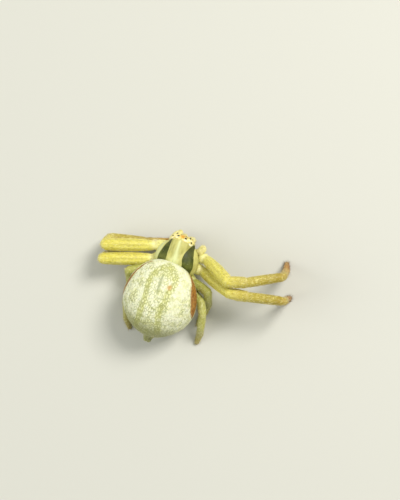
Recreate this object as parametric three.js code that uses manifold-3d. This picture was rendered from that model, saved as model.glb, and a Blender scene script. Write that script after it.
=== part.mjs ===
// A female flower crab spider, life size, resting with its right front legs raised.
// Millimetres, +Z up. The head looks toward -Y and the spider's left is +X.
// The origin is on the floor, in the middle of the flat where the belly rests.

import * as THREE from 'three';
import { mergeVertices } from 'three/addons/utils/BufferGeometryUtils.js';
import ManifoldModule from 'manifold-3d';

const wasm = await ManifoldModule();
wasm.setup();

// Driving dimensions

const GAP = 0.08;
const FLOOR = 0;
const FOOT_LEVEL = 0.11;

// The carapace is two domes on one margin: the broad thorax and the narrower head.
// A fullness power of 2 gives an oval outline, and a higher one squarer shoulders.
const THORAX = {
  centreY: -3.05,
  frontLength: 1.55,
  rearLength: 1.02,
  halfWidth: 1.6,
  marginHeight: 1.72,
  domeHeight: 1.2,
  hemDepth: 0.34,
  frontPowers: { width: 2.0, rise: 2.2 },
  rearPowers: { width: 2.4, rise: 1.7 },
};

const HEAD = {
  centreY: -3.85,
  frontLength: 1.04,
  rearLength: 1.5,
  halfWidth: 0.92,
  marginHeight: 1.76,
  domeHeight: 1.2,
  hemDepth: 0.4,
  frontPowers: { width: 2.8, rise: 3.5 },
  rearPowers: { width: 2.2, rise: 2.0 },
};

const STERNUM = { centre: [0, -3.15, 1.55], half: [0.86, 1.25, 0.5] };

const ABDOMEN = {
  centre: [-0.09, 0.06, 2.2],
  halfWidth: 2.63,
  frontLength: 2.83,
  rearLength: 2.54,
  crownHeight: 2.22,
  bellyDepth: 2.32,
  shoulderLean: 0.34,
};

const PEDICEL = { y: -2.0, z: 1.62, length: 1.1, radius: 0.32 };

// Each spinneret: its place on the tail, its length and its root radius.
const SPINNERETS = { y: 2.48, z: 1.2, spread: 0.24, rise: 0.2, length: 0.5, radius: 0.17 };
const SPINNERET_SIDES = 8;
const ANAL_TUBERCLE = { y: 2.5, z: 1.74, length: 0.42, radius: 0.24 };

// Eyes lie on the dome: station runs from 0 at its middle to 1 at its front edge,
// and angle turns from 0 at the side margin to 90 degrees on the midline.
const EYES = {
  front_middle: { station: 0.965, angle: 62, radius: 0.07, lift: 0 },
  front_side: { station: 0.89, angle: 37, radius: 0.1, lift: 0.08 },
  rear_middle: { station: 0.83, angle: 65.5, radius: 0.08, lift: 0 },
  rear_side: { station: 0.66, angle: 35, radius: 0.085, lift: 0.08 },
};
const TUBERCLE_RADIUS = 0.22;

const CHELICERA = {
  root: [0.35, -4.5, 1.98],
  tip: [0.31, -4.8, 0.98],
  rootRadius: 0.35,
  tipRadius: 0.25,
  fangLength: 0.34,
  fangRadius: 0.1,
};

// Lengths and greatest thicknesses of the leg segments, from the body outward.
const SEGMENTS = ['coxa', 'femur', 'patella', 'tibia', 'metatarsus', 'tarsus'];

const LONG_LEG = {
  length: { coxa: 0.74, femur: 3.55, patella: 1.3, tibia: 2.5, metatarsus: 2.05, tarsus: 1.2 },
  radius: { coxa: 0.34, femur: 0.32, patella: 0.37, tibia: 0.34, metatarsus: 0.27, tarsus: 0.24 },
  bulge: { coxa: 0.03, femur: 0.09, patella: 0.03, tibia: 0.02, metatarsus: 0, tarsus: 0 },
  tip: 0.15,
};

const THIRD_LEG = {
  length: { coxa: 0.58, femur: 1.78, patella: 0.86, tibia: 1.18, metatarsus: 0.86, tarsus: 0.7 },
  radius: { coxa: 0.28, femur: 0.25, patella: 0.26, tibia: 0.25, metatarsus: 0.24, tarsus: 0.22 },
  bulge: { coxa: 0.02, femur: 0.05, patella: 0.02, tibia: 0.02, metatarsus: 0, tarsus: 0 },
  tip: 0.14,
};

const FOURTH_LEG = {
  ...THIRD_LEG,
  length: { coxa: 0.5, femur: 1.94, patella: 0.86, tibia: 1.1, metatarsus: 0.96, tarsus: 0.7 },
};

// The pose: every segment has a bearing and a rise in degrees. A bearing of 0 points
// straight ahead, 90 straight out to the leg's own side and 180 straight back.
// A tarsus has only a bearing, because its rise is worked out so that the foot lands.
const LEGS = {
  leg_1_left: {
    side: 1,
    root: [1.3, -3.78, 1.34],
    build: LONG_LEG,
    bearings: [114, 112, 18, -73, -69, -65],
    rises: [9, 15, -63, -12, -10],
  },
  leg_2_left: {
    side: 1,
    root: [1.2, -2.94, 1.26],
    build: LONG_LEG,
    bearings: [123, 113, 0, -75, -73, -73],
    rises: [7, 14, -71, -6, -10],
  },
  leg_3_left: {
    side: 1,
    root: [1.12, -2.36, 1.12],
    build: THIRD_LEG,
    bearings: [124, 123, 178, 200, 200, 205],
    rises: [10, 18, -66, -27, -14],
  },
  leg_4_left: {
    side: 1,
    root: [0.8, -2.1, 1.15],
    build: FOURTH_LEG,
    bearings: [135, 131, 176, 190, 200, 214],
    rises: [-6, 9, -12, -27, -18],
  },
  leg_1_right: {
    side: -1,
    root: [-1.2, -3.88, 1.32],
    build: LONG_LEG,
    bearings: [86, 108, 70, 58, -34, -38],
    rises: [13, 39, -4, -12, -73],
  },
  leg_2_right: {
    side: -1,
    root: [-1.2, -3.1, 1.28],
    build: LONG_LEG,
    bearings: [92, 103, 79, 75, -60, -20],
    rises: [4, 32, 1, 2, -82],
  },
  leg_3_right: {
    side: -1,
    root: [-1.12, -2.4, 1.2],
    build: THIRD_LEG,
    bearings: [118, 101, 182, 190, 189, 188],
    rises: [13, 30, -58, -68, -7],
  },
  leg_4_right: {
    side: -1,
    root: [-0.8, -2.04, 1.12],
    build: FOURTH_LEG,
    bearings: [128, 113, 152, 172, 188, 188],
    rises: [0, 23, -4, -30, -56],
  },
};

// Each pedipalp bends at three points between its root and its tip.
const PALP_RADIUS = 0.26;
const PALP_TIP_RADIUS = 0.19;
const PALP_SIDES = 8;
const PALPS = {
  pedipalp_left: {
    root: [0.9, -4.05, 1.35],
    bends: [[1.0, -4.42, 1.2], [0.92, -4.75, 1.0], [0.78, -5.02, 0.84]],
  },
  pedipalp_right: {
    root: [-1.0, -4.05, 1.38],
    bends: [[-1.3, -4.22, 1.56], [-1.4, -4.5, 1.5], [-1.26, -4.62, 1.05]],
  },
};

// Colours

const COLOURS = {
  abdomen: 0xf0edcf,
  carapace: 0xb9b878,
  chelicera: 0xd9cf7e,
  palp: 0xded489,
  longLeg: 0xe0d365,
  longLegEnd: 0xc9a85a,
  shortLeg: 0xc9c987,
  eye: 0x14120c,
};

function material(colour, roughness = 0.55) {
  return new THREE.MeshStandardMaterial({ color: colour, roughness, metalness: 0 });
}

// Solids: closed meshes are joined and cut as manifolds, then turned back into geometry.

function toSolid(geometry) {
  const bare = new THREE.BufferGeometry();
  bare.setAttribute('position', geometry.getAttribute('position').clone());
  const source = geometry.index ? Array.from(geometry.index.array) : null;
  if (source) bare.setIndex(source);
  const merged = mergeVertices(bare, 1e-5);
  const corners = merged.index.array;
  const triangles = [];
  for (let i = 0; i < corners.length; i += 3) {
    const [a, b, c] = [corners[i], corners[i + 1], corners[i + 2]];
    if (a !== b && b !== c && c !== a) triangles.push(a, b, c);
  }
  const mesh = new wasm.Mesh({
    numProp: 3,
    vertProperties: new Float32Array(merged.getAttribute('position').array),
    triVerts: new Uint32Array(triangles),
  });
  const solid = new wasm.Manifold(mesh);
  if (solid.volume() > 0) return solid;
  for (let i = 0; i < triangles.length; i += 3) {
    [triangles[i], triangles[i + 1]] = [triangles[i + 1], triangles[i]];
  }
  mesh.triVerts = new Uint32Array(triangles);
  return new wasm.Manifold(mesh);
}

function largestPart(solid) {
  const parts = solid.decompose();
  return parts.reduce((best, part) => (part.volume() > best.volume() ? part : best));
}

const SMALLEST_EDGE = 0.008;

function toGeometry(solid) {
  const mesh = largestPart(solid).simplify(SMALLEST_EDGE).getMesh();
  const positions = [];
  for (let v = 0; v < mesh.numVert; v++) {
    for (let k = 0; k < 3; k++) positions.push(mesh.vertProperties[v * mesh.numProp + k]);
  }
  const geometry = new THREE.BufferGeometry();
  geometry.setAttribute('position', new THREE.Float32BufferAttribute(positions, 3));
  geometry.setIndex(Array.from(mesh.triVerts));
  geometry.computeVertexNormals();
  return geometry;
}

const model = new THREE.Group();

function addPart(name, solid, colour, roughness) {
  const mesh = new THREE.Mesh(toGeometry(solid), material(colour, roughness));
  mesh.name = name;
  model.add(mesh);
}

function keepAboveFloor(solid) {
  return solid.trimByPlane([0, 0, 1], FLOOR);
}

// A superellipse's half width, 1 at the middle and 0 at either end.
function fullness(t, power) {
  return (1 - Math.abs(t) ** power) ** (1 / power);
}

// Reshapes a unit ball: shape(along, across, up) gives the place of each vertex,
// where along runs from -1 to 1 and (across, up) is a unit direction round that station.
function shapedBall(sides, stations, shape) {
  const ball = new THREE.SphereGeometry(1, sides, stations);
  const places = ball.getAttribute('position');
  for (let i = 0; i < places.count; i++) {
    const along = places.getY(i);
    const round = Math.hypot(places.getX(i), places.getZ(i)) || 1;
    const place = shape(along, places.getX(i) / round, places.getZ(i) / round);
    places.setXYZ(i, ...place);
  }
  return toSolid(ball);
}

function ellipsoid(centre, half, sides = 16, stations = 10) {
  const ball = new THREE.SphereGeometry(1, sides, stations);
  ball.scale(...half).translate(...centre);
  return toSolid(ball);
}

// A rounded limb from one point to another. Its radius eases from root to tip with a
// swelling between them, and each end is a half ball round its own point.
const LIMB_SIDES = 10;
const CAP_STEPS = 2;
const BODY_STEPS = 5;

function limb(root, tip, rootRadius, tipRadius, bulge = 0, sides = LIMB_SIDES) {
  const length = root.distanceTo(tip);
  const profile = [];
  for (let i = 0; i <= CAP_STEPS; i++) {
    const turn = (i / CAP_STEPS - 1) * Math.PI / 2;
    profile.push(new THREE.Vector2(rootRadius * Math.cos(turn), rootRadius * Math.sin(turn)));
  }
  for (let i = 1; i < BODY_STEPS; i++) {
    const t = i / BODY_STEPS;
    const radius = rootRadius + (tipRadius - rootRadius) * t + bulge * Math.sin(Math.PI * t);
    profile.push(new THREE.Vector2(radius, length * t));
  }
  for (let i = 0; i <= CAP_STEPS; i++) {
    const turn = (i / CAP_STEPS) * Math.PI / 2;
    profile.push(new THREE.Vector2(tipRadius * Math.cos(turn), length + tipRadius * Math.sin(turn)));
  }
  profile[0].x = 0;
  profile[profile.length - 1].x = 0;
  const shape = new THREE.LatheGeometry(profile, sides);
  const along = tip.clone().sub(root).normalize();
  const across = new THREE.Vector3().crossVectors(along, new THREE.Vector3(0, 0, 1)).normalize();
  const up = new THREE.Vector3().crossVectors(across, along);
  const turn = new THREE.Matrix4().makeBasis(across, along, up).setPosition(root);
  return toSolid(shape.applyMatrix4(turn));
}

function vector(point) {
  return new THREE.Vector3(...point);
}

// Keeps the side of a plane that its direction points to, less half the gap.
function trimBeyond(solid, point, direction) {
  return solid.trimByPlane(direction.toArray(), direction.dot(point) + GAP / 2);
}

// Head and thorax

function domePoint(dome, station, angle, swell = 0) {
  const front = station > 0;
  const powers = front ? dome.frontPowers : dome.rearPowers;
  const width = (dome.halfWidth + swell) * fullness(station, powers.width);
  const rise = (dome.domeHeight + swell) * fullness(station, powers.rise);
  const length = (front ? dome.frontLength : dome.rearLength) + swell;
  return vector([
    width * Math.cos(angle),
    dome.centreY - length * station,
    dome.marginHeight + rise * Math.sin(angle),
  ]);
}

function domeSolid(dome, swell) {
  return shapedBall(26, 14, (along, across, up) => {
    const point = domePoint(dome, along, Math.atan2(Math.abs(up), across), swell);
    if (up < 0) {
      const hem = (dome.hemDepth + swell) / (dome.domeHeight + swell);
      point.z = dome.marginHeight - (point.z - dome.marginHeight) * hem;
    }
    return point.toArray();
  });
}

function eyePlaces() {
  const places = [];
  for (const [name, eye] of Object.entries(EYES)) {
    for (const [word, side] of [['left', 1], ['right', -1]]) {
      const surface = domePoint(HEAD, eye.station, THREE.MathUtils.degToRad(eye.angle));
      const outward = surface.clone().sub(vector([0, HEAD.centreY, HEAD.marginHeight]));
      outward.normalize();
      const centre = surface.addScaledVector(outward, eye.lift);
      centre.x *= side;
      outward.x *= side;
      places.push({ name: `eye_${name}_${word}`, centre, outward, ...eye });
    }
  }
  return places;
}

function cephalothorax(swell = 0) {
  const half = STERNUM.half.map((size) => size + swell);
  let solid = domeSolid(THORAX, swell).add(domeSolid(HEAD, swell));
  solid = solid.add(ellipsoid(STERNUM.centre, half, 16, 8));
  for (const { centre, outward, lift } of eyePlaces()) {
    if (lift > 0) {
      const middle = centre.clone().addScaledVector(outward, -TUBERCLE_RADIUS);
      const size = TUBERCLE_RADIUS + swell;
      solid = solid.add(ellipsoid(middle.toArray(), [size, size, size], 10, 6));
    }
  }
  return solid;
}

const EYE_SIDES = 10;
const EYE_RINGS = 6;

function eyeball({ centre, radius }, swell = 0) {
  const size = radius + swell;
  return ellipsoid(centre.toArray(), [size, size, size], EYE_SIDES, EYE_RINGS);
}

const head = cephalothorax();
const headClearance = cephalothorax(GAP);

let socketedHead = head;
for (const eye of eyePlaces()) {
  socketedHead = socketedHead.subtract(eyeball(eye, GAP / 2));
  addPart(eye.name, eyeball(eye), COLOURS.eye, 0.12);
}
addPart('cephalothorax', socketedHead, COLOURS.carapace, 0.5);

// Mouth parts

for (const [word, side] of [['left', 1], ['right', -1]]) {
  const mirror = ([x, y, z]) => vector([x * side, y, z]);
  const root = mirror(CHELICERA.root);
  const tip = mirror(CHELICERA.tip);
  const fangTip = tip.clone().add(vector([-side * 0.16, 0.16, -CHELICERA.fangLength]));
  const base = limb(root, tip, CHELICERA.rootRadius, CHELICERA.tipRadius, 0.03);
  const fang = limb(tip, fangTip, CHELICERA.fangRadius, CHELICERA.fangRadius * 0.4);
  let solid = base.add(fang).subtract(headClearance);
  solid = trimBeyond(solid, vector([0, 0, 0]), vector([side, 0, 0]));
  addPart(`chelicera_${word}`, solid, COLOURS.chelicera);
}

function palpSolid({ root, bends }, swell = 0) {
  const points = [root, ...bends].map(vector);
  const pieces = [];
  for (let i = 0; i + 1 < points.length; i++) {
    const end = i + 2 === points.length ? PALP_TIP_RADIUS : PALP_RADIUS;
    pieces.push(limb(points[i], points[i + 1], PALP_RADIUS + swell, end + swell, 0, PALP_SIDES));
  }
  return pieces.reduce((whole, piece) => whole.add(piece));
}

let bodyClearance = headClearance;
for (const [name, palp] of Object.entries(PALPS)) {
  addPart(name, palpSolid(palp).subtract(headClearance), COLOURS.palp);
  bodyClearance = bodyClearance.add(palpSolid(palp, GAP));
}

// Legs

function heading(side, bearing, rise) {
  const turn = THREE.MathUtils.degToRad(bearing);
  const lift = THREE.MathUtils.degToRad(rise);
  const flat = Math.cos(lift);
  return vector([side * flat * Math.sin(turn), -flat * Math.cos(turn), Math.sin(lift)]);
}

// The joints of one leg, from its root to the middle of its foot tip.
function legJoints({ side, root, build, bearings, rises }) {
  const joints = [vector(root)];
  SEGMENTS.forEach((segment, i) => {
    const start = joints[i];
    const length = build.length[segment];
    const landing = THREE.MathUtils.radToDeg(Math.asin((FOOT_LEVEL - start.z) / length));
    const rise = segment === 'tarsus' ? landing : rises[i];
    joints.push(start.clone().addScaledVector(heading(side, bearings[i], rise), length));
  });
  return joints;
}

// Thin cuts part the leg at its joints, each square to the bend. A short leg's last two
// segments stay whole, as its foot.
function legSolids(leg, swell = 0) {
  const joints = legJoints(leg);
  const { radius, bulge, tip } = leg.build;
  const solids = SEGMENTS.map((segment, i) => {
    const next = i + 1 < SEGMENTS.length ? radius[SEGMENTS[i + 1]] : tip;
    return limb(joints[i], joints[i + 1], radius[segment] + swell, next + swell, bulge[segment]);
  });
  const cuts = leg.build === LONG_LEG ? SEGMENTS.length - 1 : SEGMENTS.length - 2;
  for (let i = 1; i <= cuts; i++) {
    const before = joints[i].clone().sub(joints[i - 1]).normalize();
    const after = joints[i + 1].clone().sub(joints[i]).normalize();
    const square = before.add(after).normalize();
    solids[i - 1] = trimBeyond(solids[i - 1], joints[i], square.clone().negate());
    solids[i] = trimBeyond(solids[i], joints[i], square);
  }
  const pieces = {};
  SEGMENTS.slice(0, cuts).forEach((segment, i) => {
    pieces[segment] = solids[i];
  });
  const ending = solids.slice(cuts).reduce((whole, piece) => whole.add(piece));
  pieces[leg.build === LONG_LEG ? 'tarsus' : 'foot'] = keepAboveFloor(ending);
  return pieces;
}

const LEG_COLOURS = { metatarsus: COLOURS.longLegEnd, tarsus: COLOURS.longLegEnd };

let abdomenClearance = headClearance;

for (const [name, leg] of Object.entries(LEGS)) {
  const long = leg.build === LONG_LEG;
  const pieces = legSolids(leg);
  const swollen = legSolids(leg, GAP);
  pieces.coxa = pieces.coxa.subtract(bodyClearance);
  bodyClearance = bodyClearance.add(swollen.coxa);
  for (const segment of ['coxa', 'femur', 'patella', 'tibia']) {
    abdomenClearance = abdomenClearance.add(swollen[segment]);
  }
  for (const [segment, solid] of Object.entries(pieces)) {
    const colour = long ? (LEG_COLOURS[segment] ?? COLOURS.longLeg) : COLOURS.shortLeg;
    addPart(`${name}_${segment}`, solid, colour);
  }
}

// Abdomen, with the waist in front of it and the spinnerets at its tail

function abdomenBall(swell = 0) {
  const [x, y, z] = ABDOMEN.centre;
  return shapedBall(34, 20, (along, across, up) => {
    const front = along < 0;
    const length = (front ? ABDOMEN.frontLength : ABDOMEN.rearLength) + swell;
    const width = (ABDOMEN.halfWidth + swell) * fullness(along, front ? 2.15 : 1.8);
    const height = up > 0 ? ABDOMEN.crownHeight : ABDOMEN.bellyDepth;
    const lift = (height + swell) * fullness(along, 2) * up;
    const lean = front ? -ABDOMEN.shoulderLean * lift * Math.abs(along) ** 0.5 : 0;
    return [x + width * across, y + length * along + lean, z + lift];
  });
}

function spinnerets() {
  const { y, z, spread, rise, length, radius } = SPINNERETS;
  const cones = [];
  for (const side of [-1, 1]) {
    for (const level of [-1, 1]) {
      const root = vector([ABDOMEN.centre[0] + side * spread, y, z + level * rise]);
      const tip = root.clone().add(vector([-side * spread * 0.4, length, -level * rise * 0.4]));
        cones.push(limb(root, tip, radius, radius * 0.55, 0, SPINNERET_SIDES));
    }
  }
  const tail = vector([ABDOMEN.centre[0], ANAL_TUBERCLE.y, ANAL_TUBERCLE.z]);
  const end = tail.clone().add(vector([0, ANAL_TUBERCLE.length, 0]));
  cones.push(limb(tail, end, ANAL_TUBERCLE.radius, ANAL_TUBERCLE.radius * 0.5, 0, SPINNERET_SIDES));
  return cones.reduce((whole, cone) => whole.add(cone));
}

function pedicel(swell = 0) {
  const { y, z, length, radius } = PEDICEL;
  const front = vector([0, y - length / 2, z]);
  const rear = vector([0, y + length / 2, z]);
  return limb(front, rear, radius + swell, radius + swell);
}

addPart('pedicel', pedicel().subtract(headClearance), COLOURS.shortLeg);

const abdomenCut = abdomenBall().subtract(abdomenClearance).subtract(pedicel(GAP));
const abdomen = largestPart(abdomenCut).add(spinnerets());
addPart('abdomen', keepAboveFloor(abdomen), COLOURS.abdomen, 0.6);

export default model;
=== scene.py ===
# %% [markdown]
# # A crab spider at rest
#
# The part is a life-size female crab spider, about 14.5 mm across her legs. She sits on
# her belly with the two right front legs raised and held out, and the two left ones
# folded at her side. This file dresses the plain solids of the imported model: smooth skins
# with the spider's own markings, wet eyes, claws and fine hairs, then a floor, lights
# and a camera. The solids come first, because every piece below takes its place from them.

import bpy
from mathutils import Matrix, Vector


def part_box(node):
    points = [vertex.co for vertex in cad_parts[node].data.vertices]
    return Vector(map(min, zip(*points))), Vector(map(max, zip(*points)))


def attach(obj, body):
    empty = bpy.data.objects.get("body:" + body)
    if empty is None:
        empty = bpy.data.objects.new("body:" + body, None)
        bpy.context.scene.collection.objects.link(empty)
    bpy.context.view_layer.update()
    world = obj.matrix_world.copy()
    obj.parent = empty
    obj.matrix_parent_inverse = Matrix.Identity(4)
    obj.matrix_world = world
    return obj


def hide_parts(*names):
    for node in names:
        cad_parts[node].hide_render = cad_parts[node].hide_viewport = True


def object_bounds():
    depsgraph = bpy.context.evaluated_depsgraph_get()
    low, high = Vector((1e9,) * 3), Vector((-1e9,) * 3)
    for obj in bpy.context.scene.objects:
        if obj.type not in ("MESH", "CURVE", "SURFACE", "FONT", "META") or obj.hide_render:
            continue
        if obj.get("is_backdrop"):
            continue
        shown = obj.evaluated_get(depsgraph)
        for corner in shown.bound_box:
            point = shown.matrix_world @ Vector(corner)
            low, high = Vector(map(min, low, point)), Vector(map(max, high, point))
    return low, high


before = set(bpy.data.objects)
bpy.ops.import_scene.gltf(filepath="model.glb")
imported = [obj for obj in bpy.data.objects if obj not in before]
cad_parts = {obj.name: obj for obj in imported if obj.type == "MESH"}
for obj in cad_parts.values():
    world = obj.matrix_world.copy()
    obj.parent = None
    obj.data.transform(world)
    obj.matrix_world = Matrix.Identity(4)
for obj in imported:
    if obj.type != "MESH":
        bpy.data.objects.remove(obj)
solids_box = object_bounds()
print("solid nodes:", len(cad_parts))

# %% [markdown]
# ## Working in millimetre numbers
#
# A spider is tiny in Blender's metres. A remesh voxel may not be under a tenth of a
# millimetre there, and many edit tools ignore steps that small. So each piece is modelled
# a thousand times larger, with one unit for one millimetre, and is scaled back at the end.

# %% Select, change and measure a piece
import math

import bpy
import numpy as np

MM = 0.001
MODEL_SCALE = 1 / MM


def choose(*pieces):
    """Select only these pieces, the first of them active."""
    bpy.ops.object.select_all(action="DESELECT")
    for piece in pieces:
        piece.select_set(True)
    bpy.context.view_layer.objects.active = pieces[0]


def apply_modifier(piece, kind, **settings):
    """Add one modifier, set it up and make its result real."""
    choose(piece)
    modifier = piece.modifiers.new(kind.title(), kind)
    for name, value in settings.items():
        setattr(modifier, name, value)
    bpy.ops.object.modifier_apply(modifier=modifier.name)


def read_rows(items, what):
    """Three numbers for each vertex or face of a mesh, one row each."""
    rows = np.empty(len(items) * 3, np.float32)
    items.foreach_get(what, rows)
    return rows.reshape(-1, 3).astype(float)


def corners(piece):
    """The places of a mesh's vertices."""
    return read_rows(piece.data.vertices, "co")


def directions(piece):
    """The normals of a mesh's vertices."""
    return read_rows(piece.data.vertices, "normal")


def move_corners(piece, places):
    """Put a mesh's vertices at new places."""
    piece.data.vertices.foreach_set("co", places.astype(np.float32).ravel())
    piece.data.update()


def unit(vectors):
    """The same directions, each of length one."""
    return vectors / np.linalg.norm(vectors, axis=-1, keepdims=True)


print("one unit while modelling is", MM, "m")

# %% [markdown]
# ## Skin from the solids
#
# The solids are cut at every joint, with a thin gap, and their sides are flat facets. On
# the animal one skin runs over the joints. It could be sculpted again from spheres, but
# then it would drift from the solids. Here the solids' own meshes are copied, swollen
# until the gaps close, remeshed as one body and smoothed until no facet shows.

# %% Copy the solids and grow a skin on them
SWELL = 0.05
DOUBLES_REACH = 0.002


def copied_solids(name, nodes):
    """One merged copy of some solids, in millimetre numbers."""
    copies = []
    for node in nodes:
        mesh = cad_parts[node].data.copy()
        mesh.materials.clear()
        copy = bpy.data.objects.new(f"{name}_{node}", mesh)
        bpy.context.scene.collection.objects.link(copy)
        copy.scale = (MODEL_SCALE,) * 3
        copies.append(copy)
    choose(*copies)
    bpy.ops.object.join()
    piece = bpy.context.object
    piece.name = name
    piece.data.name = name
    bpy.ops.object.transform_apply(location=True, rotation=True, scale=True)
    bpy.ops.object.mode_set(mode="EDIT")
    bpy.ops.mesh.select_all(action="SELECT")
    bpy.ops.mesh.remove_doubles(threshold=DOUBLES_REACH)
    bpy.ops.mesh.normals_make_consistent(inside=False)
    bpy.ops.object.mode_set(mode="OBJECT")
    return piece


def skin_from(name, nodes, voxel, rounds, swell=SWELL):
    """A smooth closed skin over some solids."""
    skin = copied_solids(name, nodes)
    bpy.ops.object.mode_set(mode="EDIT")
    bpy.ops.mesh.select_all(action="SELECT")
    bpy.ops.transform.shrink_fatten(value=swell)
    bpy.ops.object.mode_set(mode="OBJECT")
    apply_modifier(skin, "REMESH", mode="VOXEL", voxel_size=voxel)
    apply_modifier(skin, "SMOOTH", factor=0.5, iterations=rounds)
    print(name, "from", len(nodes), "solids:", len(skin.data.vertices), "vertices")
    return skin


# %% [markdown]
# ## Labels for the markings
#
# The spider's colours follow her own shape: down a leg, round an eye, along a band. They
# could be painted on a picture, but then this file would need one beside it. Instead each
# vertex keeps a few numbers from 0 to 1, called labels here, which the materials read
# later. Two curves shape nearly all of them: a soft step and a soft hill.

# %% Labels, steps and hills
def label(piece, name, values):
    """Keep one number for each vertex, for a material to read."""
    layer = piece.data.attributes.new(name, "FLOAT", "POINT")
    layer.data.foreach_set("value", np.clip(values, 0, 1).astype(np.float32))


def ease(low, high, values):
    """0 at low, 1 at high and a soft step between. Low may be the larger one."""
    t = np.clip((values - low) / (high - low), 0, 1)
    return t * t * (3 - 2 * t)


def hill(values, centre, width):
    """1 at the centre, falling off smoothly on both sides."""
    return np.exp(-(((values - centre) / width) ** 2))


quarters = np.linspace(0, 1, 5)
print("a step at each quarter:", ease(0, 1, quarters).round(2).tolist())
print("a hill at each quarter:", hill(quarters, 0.5, 0.25).round(2).tolist())

# %% [markdown]
# ## Finding the joints
#
# A leg's joints lie where the cut faces of two neighbouring solids look at each other. They
# could be written here as numbers, but then a change of the solids would leave the skins
# behind, so they are measured. The result is the leg's own line, from hip to claw, which
# the shaping, the colours and the hairs all follow.

# %% Measure the line of each leg
LONG_SEGMENTS = ["coxa", "femur", "patella", "tibia", "metatarsus", "tarsus"]
SHORT_SEGMENTS = ["coxa", "femur", "patella", "tibia", "foot"]
JOINT_REACH = 0.22
END_SHARE = 0.93


def solid_points(node):
    """The separate corners of a solid, in millimetres."""
    return np.unique(np.round(corners(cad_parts[node]) * MODEL_SCALE, 4), axis=0)


def joint_between(first, second):
    """The middle of the cut between two solids."""
    a, b = solid_points(first), solid_points(second)
    gaps = np.linalg.norm(a[:, None] - b[None], axis=2)
    near_a = a[gaps.min(axis=1) < JOINT_REACH]
    near_b = b[gaps.min(axis=0) < JOINT_REACH]
    return (near_a.mean(axis=0) + near_b.mean(axis=0)) / 2


def far_end(node, joint):
    """The end of a solid that lies farthest from one of its joints."""
    points = solid_points(node)
    reach = np.linalg.norm(points - joint, axis=1)
    return points[reach > END_SHARE * reach.max()].mean(axis=0)


def leg_line(nodes):
    """The points of a leg from its root, through its joints, to its tip."""
    joints = [joint_between(a, b) for a, b in zip(nodes, nodes[1:])]
    root = far_end(nodes[0], joints[0])
    tip = far_end(nodes[-1], joints[-1])
    return np.array([root, *joints, tip])


LEGS = {}
for number in (1, 2, 3, 4):
    for side in ("left", "right"):
        name = f"leg_{number}_{side}"
        segments = LONG_SEGMENTS if number < 3 else SHORT_SEGMENTS
        nodes = [f"{name}_{segment}" for segment in segments]
        LEGS[name] = {"nodes": nodes, "line": leg_line(nodes), "long": number < 3}
for name, leg in LEGS.items():
    lengths = np.linalg.norm(np.diff(leg["line"], axis=0), axis=1)
    print(name, "joint to joint, in mm:", lengths.round(2).tolist())

# %% [markdown]
# ## Shaping the legs
#
# A leg segment is a tube that narrows into each joint, where soft pale membrane shows, and
# swells just before it. Such waists could be shaped by hand at each joint, but there are
# thirty-six of them. So the skin's vertices are moved along their normals by how far they
# lie from the plane of a joint, which does all joints alike in any pose.

# %% Measures along a leg
THIGH, KNEE, SHIN, HEEL = 1, 2, 3, 4
JOINT_ZONE = 0.9
FAR_AWAY = 9.0
NEARLY_UPRIGHT = [0.05, 0.02, 1.0]


def along_line(places, line):
    """For each point: the nearest piece of a line, how far along it, and the offset from it."""
    best = np.full(len(places), np.inf)
    index = np.zeros(len(places), int)
    share = np.zeros(len(places))
    offset = np.zeros((len(places), 3))
    for i, (start, end) in enumerate(zip(line, line[1:])):
        span = end - start
        t = np.clip((places - start) @ span / (span @ span), 0, 1)
        away = places - (start + t[:, None] * span)
        reach = np.linalg.norm(away, axis=1)
        nearer = reach < best
        best[nearer] = reach[nearer]
        index[nearer] = i
        share[nearer] = t[nearer]
        offset[nearer] = away[nearer]
    return index, share, offset


def joint_offsets(places, line, joint):
    """Signed distance of each point from the plane of a joint, along the leg."""
    before = unit(line[joint] - line[joint - 1])
    after = unit(line[joint + 1] - line[joint])
    away = places - line[joint]
    signed = away @ unit(before + after)
    signed[np.linalg.norm(away, axis=1) > JOINT_ZONE] = FAR_AWAY
    return signed


def turn_round_leg(line, index, offset):
    """The angle of each point round its segment, from two directions square to the segment."""
    spans = unit(np.diff(line, axis=0))
    across = unit(np.cross(spans, NEARLY_UPRIGHT))
    above = np.cross(across, spans)
    height = (offset * above[index]).sum(axis=1)
    return np.arctan2(height, (offset * across[index]).sum(axis=1))


# %% Waists, collars and membranes at the joints
SHORT_LEG_SIZE = 0.62
WAIST = {"depth": 0.024, "place": 0.02, "width": 0.08}
COLLAR = {"rise": 0.012, "place": -0.2, "width": 0.12}
MEMBRANE_PLACE = 0.03
HIP_MEMBRANE = {"reach": 0.19, "paleness": 0.85}
OTHER_MEMBRANE = {"reach": 0.07, "paleness": 0.2}


def joint_relief(places, line, size):
    """How far the joints push the skin out, and how pale the membrane is at each point."""
    push = np.zeros(len(places))
    membrane = np.zeros(len(places))
    for joint in range(1, len(line) - 1):
        signed = joint_offsets(places, line, joint)
        waist = hill(signed, WAIST["place"], WAIST["width"] * size)
        collar = hill(signed, COLLAR["place"] * size, COLLAR["width"] * size)
        push += (COLLAR["rise"] * collar - WAIST["depth"] * waist) * size
        kind = HIP_MEMBRANE if joint == 1 else OTHER_MEMBRANE
        pale = hill(signed, MEMBRANE_PLACE, kind["reach"] * size) * kind["paleness"]
        membrane = np.maximum(membrane, pale)
    return push, membrane


# %% [markdown]
# ## Lines along the legs
#
# Thigh, knee and shin carry shallow lengthwise furrows, a folded leg has a brown front
# edge, and every leg is streaked lengthwise. A straight leg could take these from a flat
# map, but these legs are bent. So they follow each point's angle round its segment and its
# share of the segment's length.

# %% Furrows, brown edges and grain
FURROWS = 7
FURROW_DEPTH = 0.01
FURROW_TURN = 0.6
THIGH_EDGE = {"angle": 0.55, "width": 0.42}
FRONT_UP = np.array([0.2, -0.93, 0.3])
GRAIN_STRETCH = 0.22
GRAIN_GIRTH = 0.45


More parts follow.
